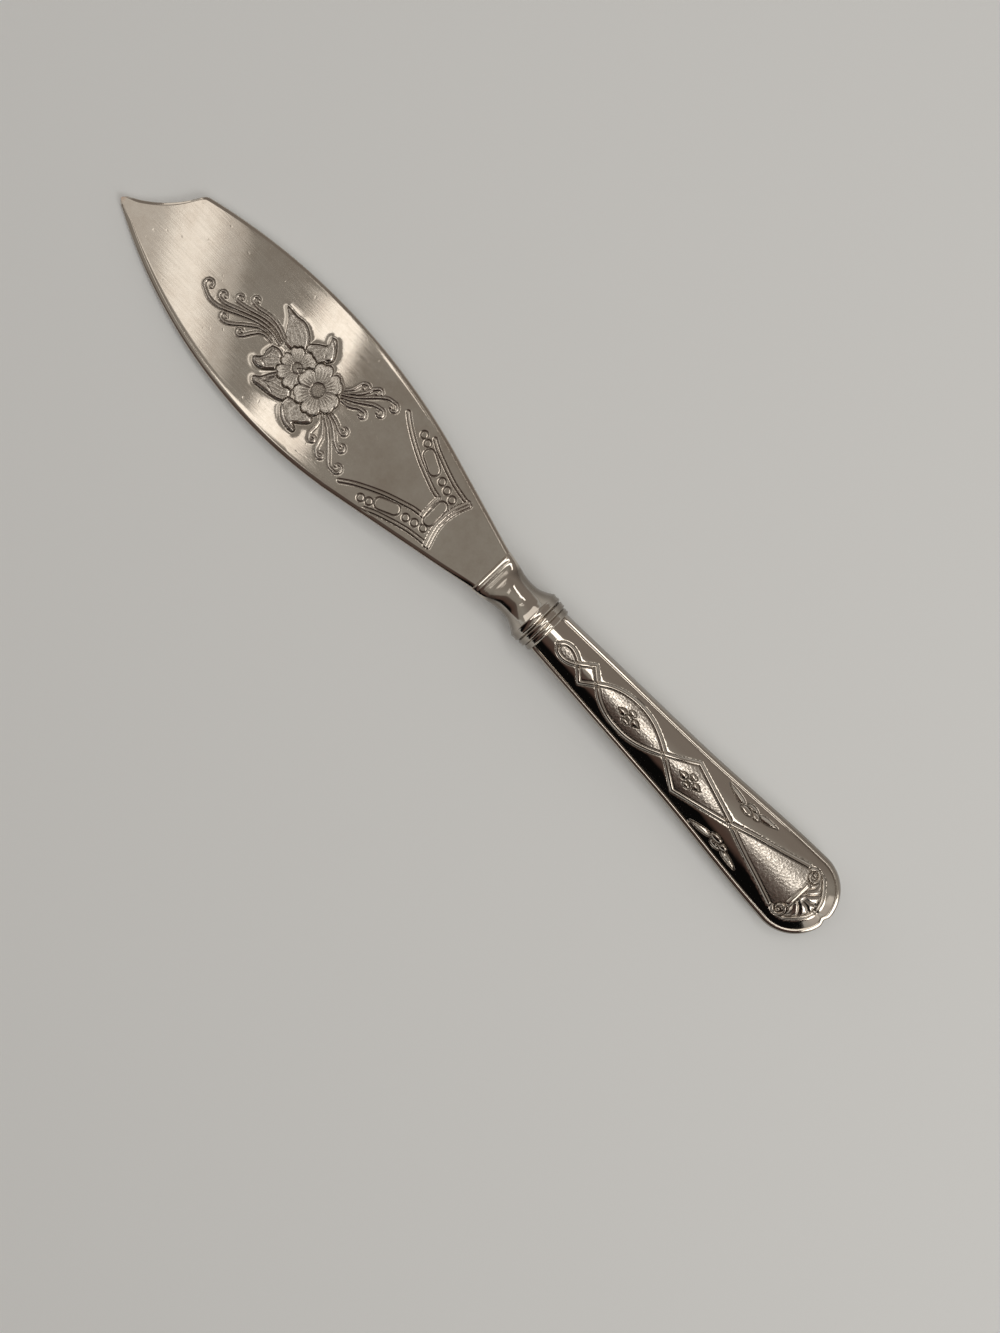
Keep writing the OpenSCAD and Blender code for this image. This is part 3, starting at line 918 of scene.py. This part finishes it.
sprig = {
    "leafBack": [(62.9, 6.95), (63.2, 6.8), (65.4, 6.0), (67.8, 5.5), (69.2, 5.8), (68.4, 6.5),
                 (65.8, 6.95)],
    "leafFore": [(79.7, 7.5), (79.4, 7.4), (77.2, 6.5), (75.2, 6.1), (73.9, 6.5), (75.0, 7.2),
                 (77.4, 7.55)],
    "berries": ((71.7, 6.6, 0.7, 2.3), (73.3, 5.75, 0.75, 1.9), (70.6, 5.2, 0.8, 2.2)),
    "leafHeight": 0.5,
    "berryHeight": 0.48,
    "cut": 0.14,
}
floret = {
    "places": (32.9, 55.2),
    "leaf": [(3.6, 0.1), (3.3, 0.25), (2.2, 0.75), (1.2, 0.4), (1.2, -0.4), (2.2, -0.75), (3.3, -0.1)],
    "beads": ((1.45, 0.62, 1.7), (-1.45, 0.62, 1.7), (0, 0.5, 2.0)),
    "height": 0.34,
    "cut": 0.2,
}
ground = {"sink": 0.06, "pit": 0.05, "pitWide": 0.23, "apart": 0.6, "matt": 0.7, "dark": 0.55, "seed": 11}


def strapRuns():
    runs = []
    for name, straight in (("oval", 0), ("diamond", 1), ("longOval", 0), ("lozenge", 1), ("fan", 0)):
        for half in mirrored(strap[name]):
            runs.append(half if straight else flow(half))
    return runs


# Grounds inside the strapwork, which are matted with a punch
def mattedGrounds():
    grounds = []
    for name, straight in (("oval", 0), ("longOval", 0), ("lozenge", 1)):
        upper, lower = mirrored(strap[name] if straight else flow(strap[name]))
        grounds.append(np.vstack([upper, lower[-2:0:-1]]))
    upper, lower = mirrored(flow(strap["fan"]))
    grounds.append(np.vstack([upper, strap["fanEnd"], lower[::-1][:-1]]))
    return grounds


def punchMarks(outline, apart, random):
    low, high = outline.min(0), outline.max(0)
    steps = [np.arange(a, b, apart) for a, b in zip(low, high)]
    marks = np.stack(np.meshgrid(*steps), axis=-1).reshape(-1, 2)
    marks = marks + random.uniform(-0.42, 0.42, marks.shape) * apart
    return marks[insidePath(marks, outline)]


def scrollRuns():
    cx, cy = palmette["scroll"]
    t = np.linspace(0, 1, 34)
    angle = math.radians(palmette["scrollFrom"]) - t * 2 * math.pi * palmette["scrollTurns"]
    reach = palmette["scrollRadius"] * (1 - palmette["scrollTight"] * t)
    wind = np.stack([cx + reach * np.cos(angle), cy + reach * np.sin(angle)], axis=1)
    return list(mirrored(wind))


def ridgeRun():
    upper, lower = mirrored(palmette["ridge"])
    return flow(np.vstack([upper, lower[-2::-1]]))


def floretLeaves(at):
    return [np.array(floret["leaf"]) * (side, 1) + (at, 0) for side in (1, -1)]


# The cuts between the lobes of the palmette
def palmetteCuts():
    return [flow(half) for cut in palmette["cuts"] for half in mirrored(cut)]


def handleLines():
    lines = strapRuns() + scrollRuns() + palmetteCuts() + [ridgeRun(), flow(palmette["bar"])]
    for half in mirrored(sprig["leafBack"]) + mirrored(sprig["leafFore"]):
        lines += [half, half.mean(0) + (half - half.mean(0)) * 0.5]
    for x, y, radius, drawn in sprig["berries"]:
        for side in (1, -1):
            lines += [ring((0, 0), radius * s) * (drawn, 1) + (x, y * side) for s in (1, 0.5)]
    for at in floret["places"]:
        lines += floretLeaves(at) + [ring((at, 0), radius) for radius in (0.5, 1.1, 1.7)]
    return evenly(lines, 0.3)


def stampHandle(sheet, marks):
    tree = pointTree(marks)
    for outline in mattedGrounds():
        near = np.flatnonzero(insidePath(sheet["xy"], outline))
        gaps = np.array([tree.find((x, y, 0))[2] for x, y in sheet["xy"][near]])
        pits = bump(gaps, 0, ground["pitWide"])
        sheet["rise"][near] -= ground["sink"] + ground["pit"] * pits
        sheet["matt"][near] = ground["matt"]
        darken(sheet, near, ground["dark"] * pits)
    for half in mirrored(sprig["leafBack"]) + mirrored(sprig["leafFore"]):
        outline = flow(np.vstack([half, half[:1]]), 5)[:-1]
        leaf(sheet, outline, half[3], half[0], sprig["leafHeight"], 0, sprig["cut"], crease=0.58, step=0.25)
    for x, y, radius, drawn in sprig["berries"]:
        for side in (1, -1):
            dot(sheet, (x, y * side), radius, sprig["berryHeight"], sprig["cut"], drawn)
    for at in floret["places"]:
        for part in floretLeaves(at):
            outline = flow(np.vstack([part, part[:1]]), 5)[:-1]
            leaf(sheet, outline, (at, 0), part[0], floret["height"], 0, floret["cut"], crease=0.65)
        for y, radius, drawn in floret["beads"]:
            dot(sheet, (at, y), radius, floret["height"], floret["cut"], drawn)
    stampPalmette(sheet)
    for run in strapRuns():
        strand(sheet, run, strap["wide"], strap["wide"], strap["height"], strap["cut"])


# The end's shell: lobes that swell between cuts, a ridge round them, and a bar with a scroll at each end
def stampPalmette(sheet):
    ridge = ridgeRun()
    field = insidePath(sheet["xy"], ridge)
    gap = np.full(len(sheet["xy"]), 9.0)
    for path in palmetteCuts() + [ridge]:
        near, off = alongPath(sheet["xy"], path, 1.2)[:2]
        gap[near] = np.minimum(gap[near], off)
    near = np.flatnonzero(field)
    side = bump(gap[near], 0, 0.15)
    lay(sheet, near, palmette["height"] * ease(gap[near] / 0.8) - 0.1 * side, 1)
    sheet["matt"][near] = palmette["matt"]
    darken(sheet, near, side)
    strand(sheet, ridge, **palmette["ridgeLook"])
    strand(sheet, flow(palmette["bar"]), **palmette["barLook"])
    for run in scrollRuns():
        strand(sheet, run, **palmette["scrollLook"])
        dot(sheet, run[-1], **palmette["scrollBead"])


def handleHalf(d):
    a = np.clip((d - handle["mouth"]) / handle["sideLength"], 0, 1)
    swell = (1 - handle["swell"]) * a + handle["swell"] * ease((a - 0.5) / 0.45)
    return handle["mouthHalf"] + (handle["endHalf"] - handle["mouthHalf"]) * swell


# Height of one half's crest, how far its panel falls to the rim, and where that would meet the shoulder
def handleRise(d, half, height):
    along = (d - handle["mouth"]) / handle["sideLength"]
    crest = handle["mouthHeight"] + (height - handle["mouthHeight"]) * ease(along)
    drop = handle["mouthDrop"] + (handle["endDrop"] - handle["mouthDrop"]) * ease(along / 0.75)
    topShare = (half - handle["shoulder"]) / (half - handle["rim"])
    return crest, drop, crest - drop * topShare**2


# One half of the handle: a sheet folded along its crown, round its end, under at the seam and back inside
def makeShell(name, node, up, height, material):
    rimWide = handle["rim"] - handle["shoulder"]
    endAt = handle["mouth"] + handle["sideLength"]
    columns = handle["sideColumns"] * 2 + handle["endColumns"]
    sideShare = handle["sideColumns"] / columns
    counts = [handle[k] for k in ("panelRows", "threadRows", "shoulderRows")] + [1, handle["innerRows"]]
    rows = sum(counts)
    panelEnd, threadEnd, shoulderEnd, lipEnd = np.cumsum(counts)[:4]

    def section(a, b):
        a, row = a + 0.5, (b + 0.5) * rows
        d = np.minimum(np.minimum(a, 1 - a) / sideShare, 1) * endAt
        turnAt = np.clip((a - sideShare) / (1 - 2 * sideShare), 0, 1) * math.pi - math.pi / 2
        atEnd = d >= endAt
        notch = handle["notchDeep"] * bump(turnAt, 0, handle["notchWide"]) * atEnd
        half = handleHalf(d) - notch
        fall = np.clip((row - threadEnd) / (shoulderEnd - threadEnd), 0, 1) * math.pi / 2
        inside = np.clip((row - lipEnd) / (rows - lipEnd), 0, 1)
        panel = np.minimum(row / panelEnd, 1) * (half - handle["rim"])
        thread = np.clip((row - panelEnd) / (threadEnd - panelEnd), 0, 1) * rimWide
        reach = panel + thread + handle["shoulder"] * np.sin(fall)
        reach = reach - handle["wall"] * np.clip(row - shoulderEnd, 0, 1)
        reach = reach * (1 - inside)
        side = np.where(a < 0.5, -1, 1)
        along = np.where(atEnd, endAt + reach * np.cos(turnAt), d)
        across = np.where(atEnd, reach * np.sin(turnAt), side * reach)
        return along, across, row, half, reach, fall, inside, d

    def openSpot(a, b):
        along, across, row = section(a, b)[:3]
        return np.stack([along, across], axis=1), row < panelEnd

    random = np.random.default_rng(ground["seed"])
    marks = np.vstack([punchMarks(outline, ground["apart"], random) for outline in mattedGrounds()])
    bm = bmesh.new()
    bmesh.ops.create_grid(bm, x_segments=columns, y_segments=rows, size=0.5)
    lines = handleLines()
    everywhere = np.vstack([marks, lines])
    refine(bm, openSpot, zip((everywhere, everywhere, lines), handle["refineReach"]))
    co = gridPoints(bm)
    along, across, row, half, reach, fall, inside, d = section(co[:, 0], co[:, 1])
    sheet = newSheet(np.stack([along, across], axis=1))
    stampHandle(sheet, marks)
    crest, drop, topEdge = handleRise(d, half, height)
    share = reach / (half - handle["rim"])
    dome = crest - drop * share**2
    q = (half - reach - handle["shoulder"]) / rimWide
    grown = ease((d - handle["mouth"] + 0.6) / 1.2)
    ledgeFrom, ledgeSlope = handle["ledge"]
    ledgeShare = (half - handle["shoulder"] - ledgeFrom * rimWide) / (half - handle["rim"])
    ledge = crest - drop * ledgeShare**2 - ledgeSlope * (ledgeFrom - np.clip(q, 0, 1)) * rimWide
    dome = np.where(q < ledgeFrom, dome + (ledge - dome) * grown, dome)
    edgeTop = topEdge + (ledge - topEdge) * grown
    groove = bump(q, *handle["groove"])
    thread = bump(q, *handle["bead"]) - 0.5 * groove - 0.4 * bump(q, ledgeFrom, 0.07)
    thread = handle["threadHeight"] * thread * grown
    z = np.where(row > threadEnd, edgeTop * np.cos(fall), dome + thread * (row > panelEnd * 0.6))
    stamped = (row <= panelEnd) & (inside == 0)
    z = np.where(stamped, z + sheet["rise"] * ease((1.04 - share) / 0.06), z)
    hollowZ = (topEdge - handle["wall"]) + (crest - topEdge) * (1 - (1 - inside) ** 2)
    z = np.where(row >= shoulderEnd, 0, z)
    z = np.where(row > lipEnd, hollowZ, z)
    setPoints(bm, np.column_stack([-along, across, up * z]))
    dark = np.where(stamped, sheet["dark"], 0) + 0.5 * groove * (row < threadEnd)
    dark += 0.5 * bump(q, ledgeFrom, 0.08)
    # painted shade: the shoulders that fall to the seam are painted darker the steeper they fall
    dark = np.where((row > threadEnd) & (inside == 0), handle["shoulderShade"] * ease(fall), dark)
    setMarks(bm, hollow=np.minimum(dark, 1), matt=sheet["matt"] * stamped)
    bmesh.ops.remove_doubles(bm, verts=bm.verts, dist=0.003)
    bmesh.ops.edgeloop_fill(bm, edges=[e for e in bm.edges if e.is_boundary])
    bmesh.ops.recalc_face_normals(bm, faces=bm.faces)
    return addPiece(name, bm, handlePlace(), material, node)


# Cement: the filling of both shells, with the tang's hole down its middle
cement = {
    "gap": 0.06,
    "holeDepth": 62.1,
    "holeMouth": 2.65,
    "holeEnd": 1.55,
    "endIn": 1.1,
    "endTurn": 86,
    "sideStations": 40,
    "endStations": 12,
    "segments": 72,
    "pale": (0.42, 0.38, 0.33, 1),
    "dark": (0.22, 0.19, 0.16, 1),
    "grain": 900.0,
}


def makeCement(material):
    endAt = handle["mouth"] + handle["sideLength"]
    inset = handle["wall"] + cement["gap"]

    def hole(d, radius):
        return lambda c, s: Vector((-d, radius * c, radius * s))

    def filling(d, turn):
        half = float(handleHalf(d))
        inside = half - inset
        past = (inside - cement["endIn"]) * math.sin(turn)
        chord = inside * math.cos(turn)

        def shape(c, s):
            y = chord * c
            height = handle["frontHeight"] if s > 0 else handle["backHeight"]
            crest, topEdge = handleRise(d, half, height)[::2]
            share = (past * past + y * y) / inside**2
            rise = crest - inset - (crest - topEdge) * share
            return Vector((-d - past, y, rise * (0 if abs(s) < 0.001 else math.copysign(1, s))))
        return shape

    rings = [hole(cement["holeDepth"], cement["holeEnd"]), hole(0, cement["holeMouth"])]
    rings += [filling(d, 0) for d in np.linspace(0, endAt, cement["sideStations"])]
    turns = np.radians(np.linspace(0, cement["endTurn"], cement["endStations"]))[1:]
    rings += [filling(endAt, t) for t in turns]
    bm = bmesh.new()
    loftRings(bm, rings, cement["segments"])
    return addPiece("cement_fill", bm, handlePlace(), material, "handle_cement")


def cementGrain():
    material, tree, surface = newMaterial("handle_cement_grain", Roughness=0.9)
    spot = addNode(tree, "ShaderNodeTexCoord").outputs["Object"]
    grain = noise(tree, spot, cement["grain"], detail=6.0)
    feed(tree, surface["Base Color"], ramped(tree, grain, ((0, cement["dark"]), (1, cement["pale"]))))
    dent = addNode(tree, "ShaderNodeBump", Strength=0.4, Distance=0.0002, Height=grain)
    feed(tree, surface["Normal"], dent.outputs["Normal"])
    return material


# Floor, light and camera. Right and down are the picture's own directions, laid on the floor
studio = {
    "pictureRight": Vector((-0.6867, -0.7269, 0)),
    "pictureDown": Vector((-0.7269, 0.6867, 0)),
    "darkSide": Vector((-0.474, 0.881, 0)),
    "aim": Vector((-0.0252, 0.01535, 0.006)),
    "distance": 0.36,
    "lean": 6.0,
    "frameLong": 0.3412,
    "sensor": 36,
    "floorSize": 6,
    "floorRough": 0.6,
    "floorColour": (0.91, 0.94, 0.955, 1),
    "horizon": (0.5, 0.5, 0.485, 1),
    "horizonSpan": (0.1, 0.16),
    "lampColour": (1, 0.97, 0.92),
    "room": ((0.0, (0.27, 0.24, 0.215, 1)), (0.25, (0.27, 0.24, 0.215, 1)),
             (0.45, (0.355, 0.336, 0.306, 1)), (0.60, (0.32, 0.30, 0.27, 1)),
             (0.64, (0.125, 0.1, 0.088, 1)), (0.82, (0.1, 0.064, 0.052, 1)),
             (0.87, (0.004, 0.004, 0.004, 1))),
}

# Name, place to the right, down and up, width, length, turn where it lies over the floor, radiance
lamps = (
    ("key_panel", 0.31, -0.09, 1.0, 0.26, 0.78, 0, 2.9),
    ("left_strip", -0.344, -0.304, 1.0, 0.055, 0.36, -30, 1.4),
    ("far_left", -0.469, -0.419, 1.0, 0.036, 0.34, -11, 0.7),
    ("far_glow", -0.5, -0.45, 1.02, 0.16, 0.4, -11, 0.4),
    ("edge_strip", 0.14, -0.61, 1.0, 0.13, 0.34, 46, 2.6),
)
windows = (
    ("end_window", 1.05, 1.1, 0.42, 1.3, 0.5, 0.5),
    ("tip_window", -1.05, -1.1, 0.42, 1.3, 0.5, 0.8),
    ("end_panel", 0.85, 0.9, 0.95, 0.8, 0.6, 3.6),
)


def addFloor():
    bm = bmesh.new()
    bmesh.ops.create_grid(bm, x_segments=8, y_segments=8, size=studio["floorSize"])
    mesh = bpy.data.meshes.new("floor")
    bm.to_mesh(mesh)
    bm.free()
    floor = bpy.data.objects.new("floor", mesh)
    bpy.context.scene.collection.objects.link(floor)
    look = {"Base_Color": studio["floorColour"], "Roughness": studio["floorRough"]}
    mesh.materials.append(newMaterial("floor_pale", **look)[0])


# A soft lamp that lies over the floor, its place given along the picture's right and down
def addLamp(name, right, down, high, wide, long, turn, radiance):
    lamp = bpy.data.lights.new(name, "AREA")
    lamp.shape = "RECTANGLE"
    lamp.size, lamp.size_y = wide, long
    lamp.energy = radiance * math.pi * wide * long
    lamp.color = studio["lampColour"]
    made = bpy.data.objects.new(name, lamp)
    bpy.context.scene.collection.objects.link(made)
    at = studio["aim"] + studio["pictureRight"] * right + studio["pictureDown"] * down
    axes = Matrix((studio["pictureRight"], -studio["pictureDown"], Vector((0, 0, 1)))).transposed().to_4x4()
    turned = axes @ Matrix.Rotation(math.radians(turn), 4, "Z")
    made.matrix_world = Matrix.Translation((at.x, at.y, high)) @ turned
    return made


# A lamp that stands to one side like a window and faces the object
def addWindow(name, right, down, high, wide, tall, radiance):
    made = addLamp(name, right, down, high, wide, tall, 0, radiance)
    at = made.matrix_world.translation
    facing = (at - studio["aim"]).to_track_quat("Z", "Y").to_matrix().to_4x4()
    made.matrix_world = Matrix.Translation(at) @ facing


# The room as the metal sees it: grey over most of it, brown and then dark on the darker side
def lightRoom():
    world = bpy.data.worlds.new("room")
    bpy.context.scene.world = world
    world.use_nodes = True
    tree = world.node_tree
    spot = addNode(tree, "ShaderNodeTexCoord").outputs["Generated"]
    towards = addNode(tree, "ShaderNodeVectorMath", operation="DOT_PRODUCT")
    feed(tree, towards.inputs[0], spot)
    feed(tree, towards.inputs[1], studio["darkSide"])
    room = ramped(tree, ranged(tree, towards.outputs["Value"], -1.0, 1.0), studio["room"])
    height = addNode(tree, "ShaderNodeSeparateXYZ", Vector=spot).outputs["Z"]
    sky = mixed(tree, ranged(tree, height, *studio["horizonSpan"]), studio["horizon"], room)
    feed(tree, tree.nodes["Background"].inputs["Color"], sky)
    for lamp in lamps:
        addLamp(*lamp)
    for window in windows:
        addWindow(*window)


def addCamera():
    camera = bpy.data.objects.new("camera", bpy.data.cameras.new("camera"))
    bpy.context.scene.collection.objects.link(camera)
    lean = math.radians(studio["lean"])
    back = Vector((0, -math.sin(lean), math.cos(lean)))
    right = (studio["pictureRight"] - back * studio["pictureRight"].dot(back)).normalized()
    up = back.cross(right)
    axes = Matrix((right, up, back)).transposed().to_4x4()
    camera.matrix_world = Matrix.Translation(studio["aim"] + back * studio["distance"]) @ axes
    camera.data.sensor_width = studio["sensor"]
    camera.data.lens = studio["sensor"] * studio["distance"] / studio["frameLong"]
    camera.data.clip_start = 0.01
    bpy.context.scene.camera = camera
    bpy.context.scene.view_settings.view_transform = "Standard"


bladeSilver = silver("blade_silver_worn", smooth=0.035, worn=0.085, cloud=0.85, brush=(60, 2600, 60))
neckSilver = silver("neck_silver_polished", smooth=0.06, worn=0.14, cloud=0.25, brush=(400, 900, 400))
handleSilver = silver("handle_silver_polished", smooth=0.06, worn=0.13, cloud=0.25, brush=(70, 1300, 70))

makeBlade(bladeSilver)
makeBolster(neckSilver)
makeFerrule(neckSilver)
makeShell("strapwork_front", "handle_front_shell", 1, handle["frontHeight"], handleSilver)
makeShell("strapwork_back", "handle_back_shell", -1, handle["backHeight"], handleSilver)
makeCement(cementGrain())
print("pieces made")

addFloor()
lightRoom()
addCamera()
print("studio ready")
